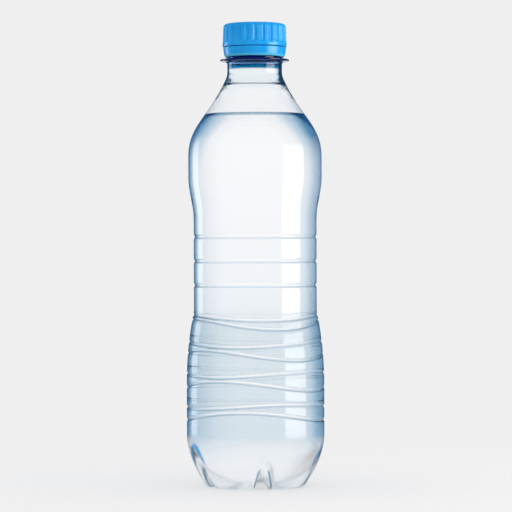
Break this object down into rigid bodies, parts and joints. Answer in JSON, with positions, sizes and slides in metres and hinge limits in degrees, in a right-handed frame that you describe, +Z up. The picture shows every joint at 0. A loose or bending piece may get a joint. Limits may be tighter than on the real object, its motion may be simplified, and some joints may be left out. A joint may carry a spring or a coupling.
{
  "type": "plastic water bottle",
  "caption": "Clear blow-moulded water bottle, full and closed: petaloid feet, waved and ribbed body, narrow neck, blue screw cap that unscrews over a tamper ring.",
  "frame": {"origin": "on the bottle's axis at the plane its feet stand on", "axes": "+Z up along the bottle's axis, -Y towards the front of the picture"},
  "size_m": [0.066, 0.066, 0.2216],
  "materials": {
    "clear_pet": "clear, glossy, faint blue",
    "water": "still clear water",
    "blue_hdpe": "satin moulded plastic"
  },
  "bodies": {
    "bottle": {"bottle": "clear_pet", "water": "water"},
    "tamper_band": {"tamper_band": "blue_hdpe"},
    "cap": {"cap": "blue_hdpe"}
  },
  "joints": [
    {"name": "cap_turn", "type": "hinge", "parent": "bottle", "child": "tamper_band", "pos_m": [0, 0, 0.2081], "axis": [0, 0, 1], "range_deg": [0, 1620]},
    {"name": "cap_lift", "type": "slide", "parent": "tamper_band", "child": "cap", "axis": [0, 0, 1], "range_m": [0, 0.01216]}
  ],
  "couplings": [
    {"joint": "cap_lift", "follows": "cap_turn", "m_per_rad": 0.00042972}
  ]
}
